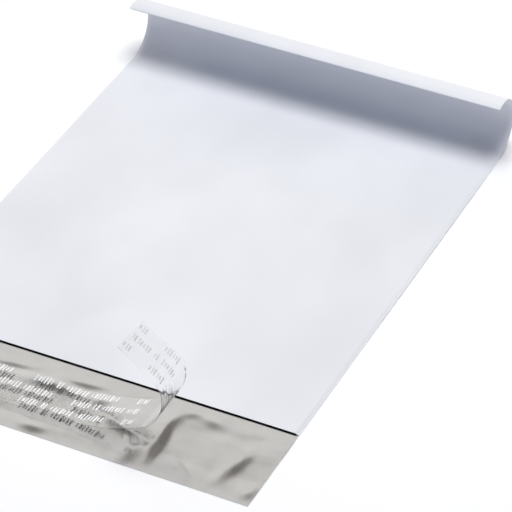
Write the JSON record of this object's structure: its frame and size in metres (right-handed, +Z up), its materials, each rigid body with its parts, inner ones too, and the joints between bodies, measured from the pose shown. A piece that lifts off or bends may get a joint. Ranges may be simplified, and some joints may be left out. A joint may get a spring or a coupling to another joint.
{
  "type": "poly mailer bag",
  "caption": "Flat plastic shipping envelope with an open mouth, a self-seal flap under a partly peeled release liner, and a curled closed end.",
  "frame": {"origin": "on the surface that the bag lies on, under the middle of the whole outline from the flap's edge to the outermost film of the curl", "axes": "+X across the bag to the right, +Y from the flap towards the curled closed end, +Z up"},
  "size_m": [0.1906, 0.2789, 0.0528],
  "materials": {
    "white_film": "satin, lightly glossy polythene film, white outside",
    "grey_film": "satin silver-grey inner face of the same film",
    "clear_adhesive": "clear, wet-looking hot-melt adhesive",
    "clear_liner": "clear film, slightly milky, glossy",
    "liner_print": "opaque white print, plain marks"
  },
  "bodies": {
    "root": {"mailer_bag": "white_film", "adhesive_line": "clear_adhesive", "release_liner": "clear_liner"}
  },
  "joints": []
}
